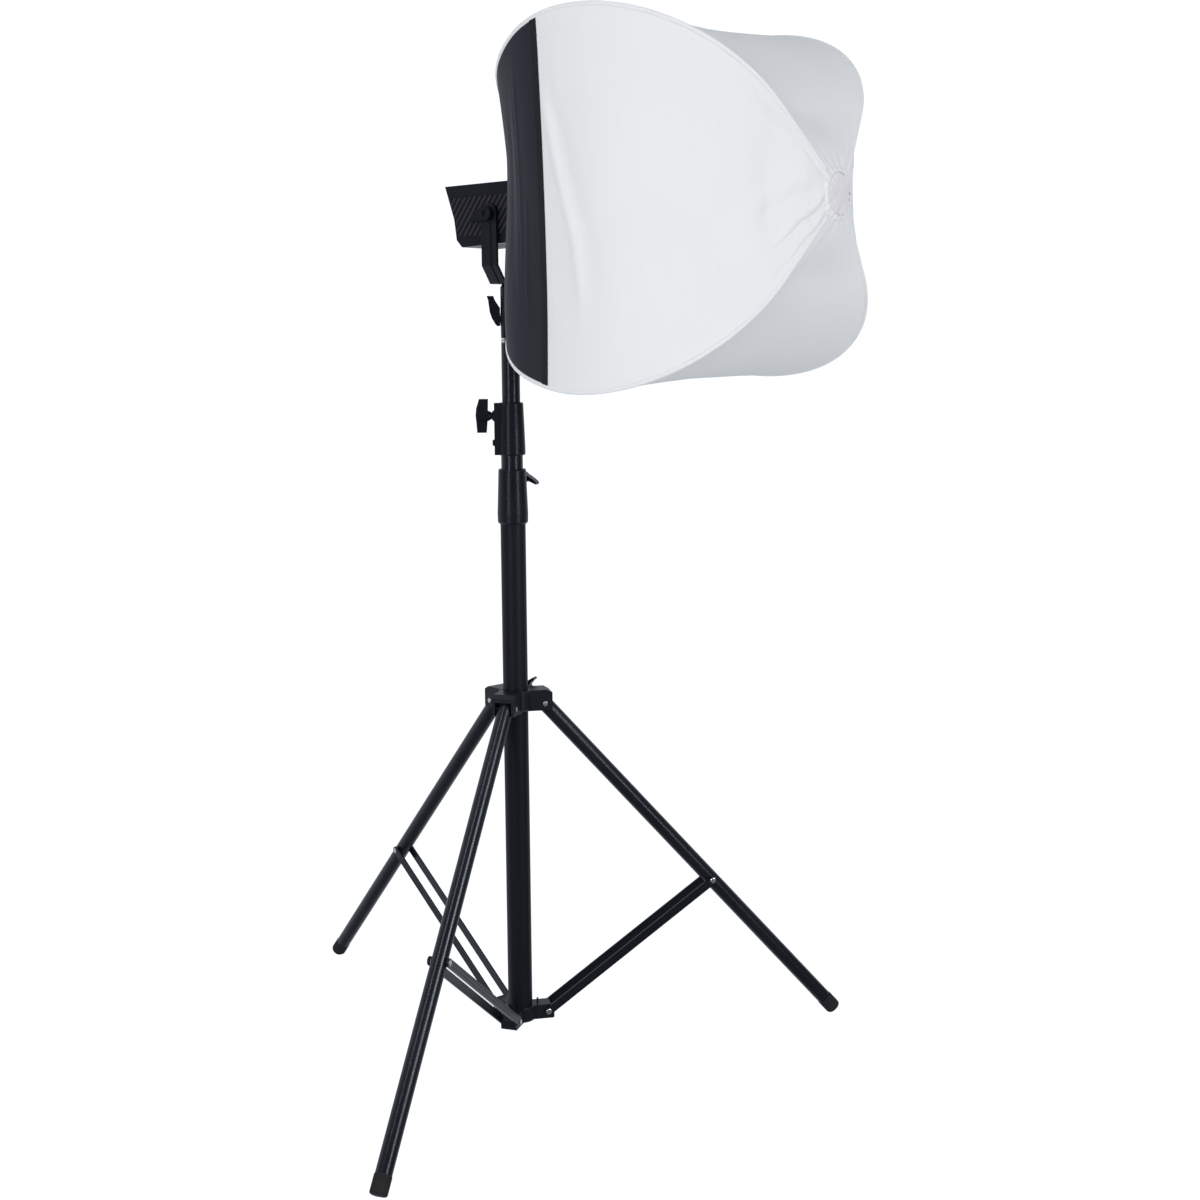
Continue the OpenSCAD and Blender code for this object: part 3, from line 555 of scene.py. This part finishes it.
# A fold beside a rib: points of (distance back from the hub, gap from the rib), edge, half width and height
RIB_FOLDS = {
    0: [([(6, 10), (60, 16), (130, 22)], 1, 5, 0.7), ([(10, 14), (70, 30), (120, 44)], -1, 7, -0.7)],
    1: [
        ([(2, 20), (40, 26), (90, 34), (125, 38)], -1, 3.2, -2.7),
        ([(2, 27), (40, 36), (90, 46), (125, 50)], -1, 6, 2.3),
        ([(4, 11), (50, 13), (110, 17), (170, 19)], -1, 3.5, 1.9),
        ([(20, 42), (60, 62), (110, 78), (150, 88)], -1, 10, -2.3),
        ([(30, 58), (70, 82), (120, 104), (160, 116)], -1, 9, 1.5),
        ([(60, 12), (120, 15), (190, 13)], 1, 4, 1.8),
        ([(90, 22), (140, 30), (190, 33)], 1, 6, -1.3),
        ([(20, 9), (70, 14), (110, 20)], 1, 4, -1.3),
    ],
    2: [([(8, 12), (60, 18), (120, 24)], 1, 5, 0.9), ([(8, 24), (60, 38), (110, 50)], 1, 7, -0.9)],
    3: [([(4, 14), (50, 22), (120, 30)], -1, 5, 1.0), ([(10, 12), (60, 16), (140, 20)], 1, 5, 0.9)],
}


def fold_height(run, place, points, width, height):
    """Height of one fold at places, given its line as (run, place) points."""
    start, end = points[0][0], points[-1][0]
    line = np.interp(run, *np.array(sorted(points)).T)
    sign = 1 if end > start else -1
    fade = ease(sign * (run - start), -0.02 * abs(end - start), 0.18 * abs(end - start))
    fade = fade * (1 - ease(sign * (run - end), -0.4 * abs(end - start), 0))
    return height * fade * np.exp(-(((place - line) / width) ** 2))


def gore_surface(along, across, quarter, lift=0.0):
    """Points of the cloth between two ribs. along is the distance from the mount down the rib, across runs from -1
    to 1 between the ribs, and quarter picks the side: 0 top, 1 camera side, 2 bottom, 3 far side."""
    (point, outward) = seam_at(along)
    x, rho = point[..., 0], point[..., 1]
    out_x, out_rho = outward[..., 0], outward[..., 1]
    flat = ease(along, 40 * MM, 130 * MM) * ease(SEAM_END - along, -8 * MM, 12 * MM)
    turn = across * math.pi / 4
    half = rho / math.sqrt(2)
    side = flat * half * across + (1 - flat) * rho * np.sin(turn)
    height = flat * half + (1 - flat) * rho * np.cos(turn)
    past = along - COLOUR_CHANGE
    front = ease(past, 60 * MM, 270 * MM) * (1 - ease(past, 330 * MM, 460 * MM))
    rear = ease(-past, 20 * MM, 110 * MM) * (1 - ease(-past, 140 * MM, 250 * MM))
    rear_sag = REAR_SAG + (REAR_SAG_LEAN * np.clip(across, -1, 0.4) if quarter == 1 else 0)
    hollow = SEAM_SAG + (FRONT_SAG - SEAM_SAG) * front + (rear_sag - SEAM_SAG) * rear
    move = lift - hollow * (1 - across**2) * flat * ease(rho, 50 * MM, 150 * MM)
    move = move + crease_height(along, across, half, quarter)
    x = x + out_x * move
    height = height + out_rho * move
    angle = quarter * math.pi / 2
    y = side * math.cos(angle) - height * math.sin(angle)
    z = side * math.sin(angle) + height * math.cos(angle)
    return np.stack(np.broadcast_arrays(x, y, z), -1)


def settle(points):
    """Moves the far corners, and the shoulders of the near ones, to where they stand."""
    reach = RIB_SEAM_R / math.sqrt(2)
    far, near = np.maximum(points[..., 1], 0) / reach, np.maximum(-points[..., 1], 0) / reach
    top, bottom = np.maximum(points[..., 2], 0) / reach, np.maximum(-points[..., 2], 0) / reach
    shoulder = ease(points[..., 0], REAR_X, 118 * MM) * (1 - ease(points[..., 0], 150 * MM, 215 * MM))
    back = (NEAR_BOTTOM_BACK * bottom + NEAR_TOP_BACK * top) * near * shoulder
    moved = points + (far * top)[..., None] * FAR_TOP_SHIFT + (far * bottom)[..., None] * FAR_BOTTOM_SHIFT
    return moved - back[..., None] * np.array([1, 0, 0])


def crease_height(along, across, half, quarter):
    """How far the cloth stands above its smooth shape: folds from the colour seam and beside the ribs, gathers at the
    hub, and a little unevenness all over."""
    along, across, half = np.broadcast_arrays(along, across, half)
    y = across * half
    height = 0.45 * MM * (1 - np.abs(across) ** 6) * ripple(y / 0.22, along / 0.3, 31 + quarter, 6, 0.4, 1.2)
    past = (along - change_at(across, quarter)) / MM
    for points, width, tall in ACROSS_FOLDS[quarter]:
        swapped = [(place, run) for run, place in points]
        height = height + MM * fold_height(across, past, swapped, width, tall) * ease(past, 0, 6)
    for points, width, tall in BLACK_FOLDS[quarter]:
        swapped = [(place, run) for run, place in points]
        height = height + MM * fold_height(across, -past, swapped, width, tall) * ease(-past, HEM_W / MM, 20)
    to_hub = (SEAM_END - along) / MM
    for points, edge, width, tall in RIB_FOLDS[quarter]:
        gap = half * (1 - edge * across) / MM
        wander = 1.5 * np.sin(to_hub / 9 + 2 * edge)
        height = height + MM * fold_height(to_hub, gap + wander, points, width, tall)
    pleats = np.sin(across * 5 * math.pi + 0.7 * np.sin(along / (21 * MM)) + quarter)
    height = height + 0.5 * MM * pleats * np.exp(-((to_hub / 30) ** 2)) * (1 - np.abs(across) ** 8)
    rib_gap = half * (1 - np.abs(across))
    pucker = ripple(along / (24 * MM), y / (60 * MM), 51 + quarter, 6, 0.5, 1.6)
    front = ease(along, 0.5 * SEAM_END, 0.75 * SEAM_END)
    return height + 0.35 * MM * pucker * np.exp(-rib_gap / (16 * MM)) * (1 - np.exp(-rib_gap / (4 * MM))) * front


def change_at(across, quarter):
    """Distance along the rib of the seam between black and white, which leans a little forward at the top."""
    angle = quarter * math.pi / 2
    half = float(seam_at(np.array(COLOUR_CHANGE))[0][1]) / math.sqrt(2)
    z = half * (np.asarray(across) * math.sin(angle) + math.cos(angle))
    return COLOUR_CHANGE + SEAM_SHIFT + SEAM_LEAN * z


EDGE_CROWDING = 1.35


def gore_grid(start, end, rows, columns, quarter, lift=0.0, inset=0.0):
    """Grid of points and flat coordinates over part of a gore, closer together towards the ribs. start and end are
    distances along the rib, or functions of the place across."""
    u = np.linspace(-1, 1, columns)
    across = (np.sign(u) * (1 - (1 - np.abs(u)) ** EDGE_CROWDING))[None, :]
    begin, finish = (edge(across) if callable(edge) else edge for edge in (start, end))
    along = begin + np.linspace(0, 1, rows)[:, None] * (finish - begin)
    along, across = np.broadcast_arrays(along, across)
    half = seam_at(along)[0][..., 1] / math.sqrt(2)
    across = across * (1 - inset / half)
    return gore_surface(along, across, quarter, lift), np.stack([across * half, along], -1)


def cloth_area(start, end):
    """Flat width, length and area of a gore between two distances along the seam."""
    along = np.linspace(start, end, 200)
    width = 2 * seam_at(along)[0][:, 1] / math.sqrt(2)
    area = float(((width[1:] + width[:-1]) / 2 * np.diff(along)).sum())
    return (float(width.max()), end - start), area


SIDES = ("top", "near", "bottom", "far")


def white_gore(quarter):
    points, uvs = gore_grid(lambda across: change_at(across, quarter), SEAM_LONG[-1], 236, 151, quarter)
    name = f"white_gore_{SIDES[quarter]}"
    thing = new_piece(name, grid(name, points, uvs), "head")
    paint(thing, "white_cloth")
    thicken(thing, CLOTH_T)
    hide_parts(f"diffuser_{quarter + 1}")
    return thing


def black_gore(quarter):
    points, uvs = gore_grid(0, lambda across: change_at(across, quarter), 110, 101, quarter)
    name = f"black_gore_{SIDES[quarter]}"
    thing = new_piece(name, grid(name, points, uvs), "head")
    paint(thing, "black_cloth")
    thicken(thing, CLOTH_T)
    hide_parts("rear_skin")
    return thing


def hem(quarter):
    """Folded black binding over the seam between the two cloths."""
    back, front = (lambda across, d=d: change_at(across, quarter) + d for d in (-HEM_W, 0.8 * MM))
    points, uvs = gore_grid(back, front, 9, 101, quarter, lift=0.5 * MM, inset=1 * MM)
    name = f"hem_{SIDES[quarter]}"
    thing = new_piece(name, grid(name, points, uvs), "head")
    paint(thing, "hem_cloth")
    return thicken(thing, 0.9 * MM)


def rib_sleeve(quarter):
    """White sleeve that the rib runs in, along the seam between two gores."""
    along = np.linspace(30 * MM, SEAM_END - 4 * MM, 190)
    point, outward = seam_at(along)
    turn = math.pi / 4 + quarter * math.pi / 2
    radial = np.array([0, math.sin(turn), math.cos(turn)])
    centre = point + outward * (-1.3 * MM)
    path = centre[:, :1] * np.array([[1, 0, 0]]) + centre[:, 1:] * radial
    normal = outward[:, :1] * np.array([[1, 0, 0]]) + outward[:, 1:] * radial
    name = f"rib_sleeve_{quarter + 1}"
    thing = new_piece(name, sweep(name, path, normal, 2.9 * MM, 14, squeeze=1.15), "head")
    paint(thing, "white_cloth")
    return thing


def seam_tape(quarter, edge):
    """Flat sewn margin beside a rib, on one edge of a gore."""
    along = np.linspace(COLOUR_CHANGE + 4 * MM, SEAM_END - 10 * MM, 220)[:, None]
    half = seam_at(along)[0][..., 1] / math.sqrt(2)
    width = np.linspace(1.5 * MM, 8.5 * MM, 7)[None, :]
    across = edge * (1 - width / half)
    shape = 0.2 * MM * np.sin(np.linspace(0.15, math.pi - 0.15, 7))[None, :]
    along, across = np.broadcast_arrays(along, across)
    points = gore_surface(along, across, quarter, 0.15 * MM + shape)
    uvs = np.stack([across * half, along], -1)
    name = f"seam_tape_{SIDES[quarter]}_{'a' if edge > 0 else 'b'}"
    mesh = grid(name, points if edge < 0 else points[:, ::-1], uvs if edge < 0 else uvs[:, ::-1])
    thing = new_piece(name, mesh, "head")
    paint(thing, "white_cloth")
    return thicken(thing, 0.4 * MM)


def stitches(name, centres, directions, normals, length, radius, slot, finish):
    """One mesh of short rounded threads, each lying along its direction on the cloth."""
    sides, rings = 6, 5
    turn = np.linspace(0, 2 * math.pi, sides, endpoint=False)
    profile = np.sin(np.linspace(0.25, math.pi - 0.25, rings))
    steps = np.linspace(-0.5, 0.5, rings)
    verts, faces = [], []
    for centre, direction, normal in zip(centres, directions, normals, strict=True):
        other = np.cross(direction, normal)
        base = len(verts)
        for step, size in zip(steps, profile, strict=True):
            ring = centre + direction * length * step + normal * radius * (size - 0.6)
            for a in turn:
                verts.append(ring + radius * size * (math.cos(a) * normal + math.sin(a) * other))
        for start in range(base, base + (rings - 1) * sides, sides):
            for k in range(sides):
                n = (k + 1) % sides
                faces.append((start + k, start + n, start + sides + n, start + sides + k))
        faces.append([base + k for k in range(sides)][::-1])
        faces.append([base + (rings - 1) * sides + k for k in range(sides)])
    mesh = bpy.data.meshes.new(name)
    mesh.from_pydata(to_row_frame(np.array(verts)).tolist(), [], faces)
    smooth(mesh)
    shell = bmesh.new()
    shell.from_mesh(mesh)
    bmesh.ops.recalc_face_normals(shell, faces=shell.faces)
    shell.to_mesh(mesh)
    shell.free()
    thing = new_piece(name, mesh, "head")
    paint(thing, finish)
    return thing


def surface_frames(along, across, quarter, lift):
    """Centres, directions down the rib and normals for threads on a gore."""
    step = 0.5 * MM
    centre = gore_surface(along, across, quarter, lift)
    ahead = gore_surface(along + step, across, quarter, lift)
    beside = gore_surface(along, across + 0.002, quarter, lift)
    direction = ahead - centre
    direction /= np.linalg.norm(direction, axis=-1, keepdims=True)
    sideways = beside - centre
    normal = np.cross(direction, sideways)
    normal /= np.linalg.norm(normal, axis=-1, keepdims=True)
    outward = gore_surface(along, across, quarter, lift + 1 * MM) - centre
    normal *= np.sign((normal * outward).sum(-1, keepdims=True))
    return centre, direction, normal


def tape_stitches(quarter):
    """Two rows of threads down each seam tape of a gore."""
    along = np.arange(COLOUR_CHANGE + 8 * MM, SEAM_END - 14 * MM, STITCH_PITCH)
    half = seam_at(along)[0][:, 1] / math.sqrt(2)
    found = []
    for edge in (-1, 1):
        for width in (3 * MM, 7 * MM):
            found.append(surface_frames(along, edge * (1 - width / half), quarter, 0.45 * MM))
    parts = [np.concatenate([f[k] for f in found]) for k in range(3)]
    return stitches(f"tape_stitches_{SIDES[quarter]}", *parts, 3 * MM, 0.3 * MM, "white_cloth", "white_cloth")


def hem_stitches(quarter):
    """Two rows of threads along the black binding."""
    found = []
    for back in (2 * MM, HEM_W - 2 * MM):
        half = float(seam_at(np.array(COLOUR_CHANGE))[0][1]) / math.sqrt(2)
        across = np.arange(-half + 6 * MM, half - 6 * MM, STITCH_PITCH) / half
        along = change_at(across, quarter) - back
        centre, direction, normal = surface_frames(along, across, quarter, 1.0 * MM)
        found.append((centre, np.cross(normal, direction), normal))
    parts = [np.concatenate([f[k] for f in found]) for k in range(3)]
    return stitches(f"hem_stitches_{SIDES[quarter]}", *parts, 3 * MM, 0.3 * MM, "black_cloth", "black_cloth")


# ---- Hub and mount collar ----


def hub_gather():
    """Round patch of gathered cloth over the front hub, tucked in round its rim."""
    rings, spokes = 40, 180
    r = np.linspace(0.2 * MM, GATHER_R, rings)[:, None]
    turn = np.linspace(0, 2 * math.pi, spokes, endpoint=False)[None, :]
    fold = np.sin(turn * 23 + 0.9 * np.sin(turn * 5)) + 0.6 * np.sin(turn * 14 + 1.3 + 40 * r)
    depth = ease(r, 4 * MM, 18 * MM)
    crumple = ripple(r * np.sin(turn) / (15 * MM), r * np.cos(turn) / (22 * MM), 77, 7, 0.5, 1.6)
    dome = 1.4 * MM * (1 - (r / GATHER_R) ** 2)
    tuck = -5 * MM * ease(r, GATHER_R - 5 * MM, GATHER_R)
    x = FRONT_X + 2.2 * MM + dome + tuck + MM * (0.4 * fold * depth + 0.5 * crumple)
    x, r, turn = np.broadcast_arrays(x, r, turn)
    points = np.stack([x, r * np.sin(turn), r * np.cos(turn)], -1)
    uvs = np.stack([turn * GATHER_R, r], -1)
    mesh = grid("hub_gather", points, uvs, closed=True)
    thing = new_piece("hub_gather", mesh, "head")
    paint(thing, "gather_cloth")
    return thicken(thing, CLOTH_T)


def mount_patch():
    """Doubled black cloth round the mount."""
    rings, spokes = 10, 96
    r = np.linspace(REAR_HOLE_RHO + 1 * MM, PATCH_R, rings)[:, None]
    turn = np.linspace(0, 2 * math.pi, spokes, endpoint=False)[None, :]
    roll = 0.8 * MM * np.exp(-(((r - PATCH_R + 2 * MM) / (2 * MM)) ** 2))
    x = REAR_X - 1.2 * MM - roll + 0.25 * MM * ripple(turn * 2, r / (20 * MM), 5)
    points = np.stack(np.broadcast_arrays(x, r * np.sin(turn), r * np.cos(turn)), -1)
    uvs = np.stack(np.broadcast_arrays(turn * 60 * MM, r + 0 * turn), -1)
    thing = new_piece("mount_patch", grid("mount_patch", points, uvs, closed=True), "head")
    paint(thing, "hem_cloth")
    return thicken(thing, 0.9 * MM)


# ---- Stage ----


def brightness_by_ray(tree, lit):
    """A strength that differs for what the camera sees, what lights the object and what it mirrors, which is white
    beyond the object and dark on the camera's side."""
    path = tree.nodes.new("ShaderNodeLightPath")
    seen = tree.nodes.new("ShaderNodeMath")
    seen.operation = "MULTIPLY_ADD"
    tree.links.new(path.outputs["Is Camera Ray"], seen.inputs[0])
    seen.inputs[1].default_value = SEEN_WHITE - lit
    seen.inputs[2].default_value = lit
    ray = tree.nodes.new("ShaderNodeNewGeometry")
    facing = tree.nodes.new("ShaderNodeVectorMath")
    facing.operation = "DOT_PRODUCT"
    tree.links.new(ray.outputs["Incoming"], facing.inputs[0])
    behind = VIEW_AZIMUTH + MIRRORED_TURN
    facing.inputs[1].default_value = (math.sin(behind), -math.cos(behind), 0)
    beyond = tree.nodes.new("ShaderNodeMapRange")
    beyond.interpolation_type = "SMOOTHSTEP"
    tree.links.new(facing.outputs["Value"], beyond.inputs["Value"])
    for name, value in (("From Min", -0.2), ("From Max", 0.5), ("To Min", MIRRORED_NEAR), ("To Max", MIRRORED_FAR)):
        beyond.inputs[name].default_value = value
    mirrored = tree.nodes.new("ShaderNodeMix")
    tree.links.new(path.outputs["Is Glossy Ray"], mirrored.inputs["Factor"])
    tree.links.new(seen.outputs["Value"], mirrored.inputs["A"])
    tree.links.new(beyond.outputs["Result"], mirrored.inputs["B"])
    return mirrored.outputs["Result"]


def build_floor():
    """White sweep, lit so evenly that no shadow or horizon shows."""
    material = bpy.data.materials.new("floor")
    material.use_nodes = True
    tree = material.node_tree
    tree.nodes.clear()
    output = tree.nodes.new("ShaderNodeOutputMaterial")
    glow = tree.nodes.new("ShaderNodeEmission")
    glow.inputs["Color"].default_value = SKY_TINT
    tree.links.new(brightness_by_ray(tree, FLOOR_LIT), glow.inputs["Strength"])
    tree.links.new(glow.outputs["Emission"], output.inputs["Surface"])
    radius, sides = 30.0, 96
    turn = [2 * math.pi * k / sides for k in range(sides)]
    mesh = bpy.data.meshes.new("floor")
    mesh.from_pydata([(radius * math.cos(a), radius * math.sin(a), 0) for a in turn], [], [list(range(sides))])
    floor = bpy.data.objects.new("floor", mesh)
    bpy.context.scene.collection.objects.link(floor)
    mesh.materials.append(material)


def build_world():
    """White studio all round, dark where the glossy parts mirror it."""
    world = bpy.data.worlds.new("studio")
    bpy.context.scene.world = world
    world.use_nodes = True
    tree = world.node_tree
    background = tree.nodes["Background"]
    background.inputs["Color"].default_value = SKY_TINT
    tree.links.new(brightness_by_ray(tree, WORLD_LIT), background.inputs["Strength"])


def area_light(name, azimuth, distance, height, size, radiance, target_height, tint=(1, 1, 1)):
    """A soft light at an azimuth from the stand's axis, where 0 looks along +Y, aimed at a height on the axis."""
    light = bpy.data.lights.new(name, "AREA")
    light.shape = "RECTANGLE"
    light.size, light.size_y = size
    light.energy = radiance * math.pi * size[0] * size[1]
    light.color = tint
    lamp = bpy.data.objects.new(name, light)
    bpy.context.scene.collection.objects.link(lamp)
    turn = math.radians(azimuth)
    place = STAND_AXIS + Vector((distance * math.sin(turn), -distance * math.cos(turn), height))
    target = STAND_AXIS + Vector((0, 0, target_height))
    lamp.location = place
    lamp.rotation_euler = (place - target).to_track_quat("Z", "Y").to_euler()
    return lamp


def build_lights():
    """Two soft lights for the cloth, and strips that only show as streaks down the tubes and legs."""
    view = math.degrees(VIEW_AZIMUTH)
    for name, azimuth, radiance in (("left_key", view - 29, 6.2), ("right_key", view + 36, 4.3)):
        area_light(name, azimuth, 3.0, 1.15, (0.55, 2.2), radiance, 0.95, KEY_TINT).visible_glossy = False
    for name, azimuth, distance, height, size, radiance in (
        ("left_strip", view - 31, 3.0, 1.15, (0.3, 2.2), 7),
        ("right_strip", view + 44, 3.0, 1.15, (0.3, 2.2), 9),
        ("left_high_strip", view - 40, 1.6, 2.8, (0.35, 1.3), 7),
        ("right_high_strip", view + 56, 2.5, 1.95, (0.35, 1.3), 19),
    ):
        area_light(name, azimuth, distance, height, size, radiance, 0.3).visible_diffuse = False


def build_camera():
    data = bpy.data.cameras.new("camera")
    data.lens = LENS_MM
    data.sensor_width = 36
    data.clip_start, data.clip_end = 0.05, 100
    camera = bpy.data.objects.new("camera", data)
    bpy.context.scene.collection.objects.link(camera)
    place = STAND_AXIS + Vector(
        (CAMERA_DISTANCE * math.sin(VIEW_AZIMUTH), -CAMERA_DISTANCE * math.cos(VIEW_AZIMUTH), CAMERA_HEIGHT)
    )
    camera.matrix_world = (
        Matrix.Translation(place)
        @ Matrix.Rotation(VIEW_AZIMUTH - CAMERA_YAW, 4, "Z")
        @ Matrix.Rotation(math.pi / 2 - CAMERA_PITCH, 4, "X")
        @ Matrix.Rotation(CAMERA_ROLL, 4, "Z")
    )
    bpy.context.scene.camera = camera


# ---- The object ----

bpy.context.scene.view_settings.view_transform = "Standard"
build_camera()
build_world()
build_lights()
build_floor()
paint_cad()

WHITE_FLAT, WHITE_AREA = cloth_area(COLOUR_CHANGE, SEAM_END)
BLACK_FLAT, BLACK_AREA = cloth_area(0, COLOUR_CHANGE)
for quarter in range(4):
    white = white_gore(quarter)
    black = black_gore(quarter)
    trim = [seam_tape(quarter, edge) for edge in (-1, 1)] + [tape_stitches(quarter)]
    edging = [hem(quarter), hem_stitches(quarter)]
    sleeve = rib_sleeve(quarter)
hub_gather()
mount_patch()
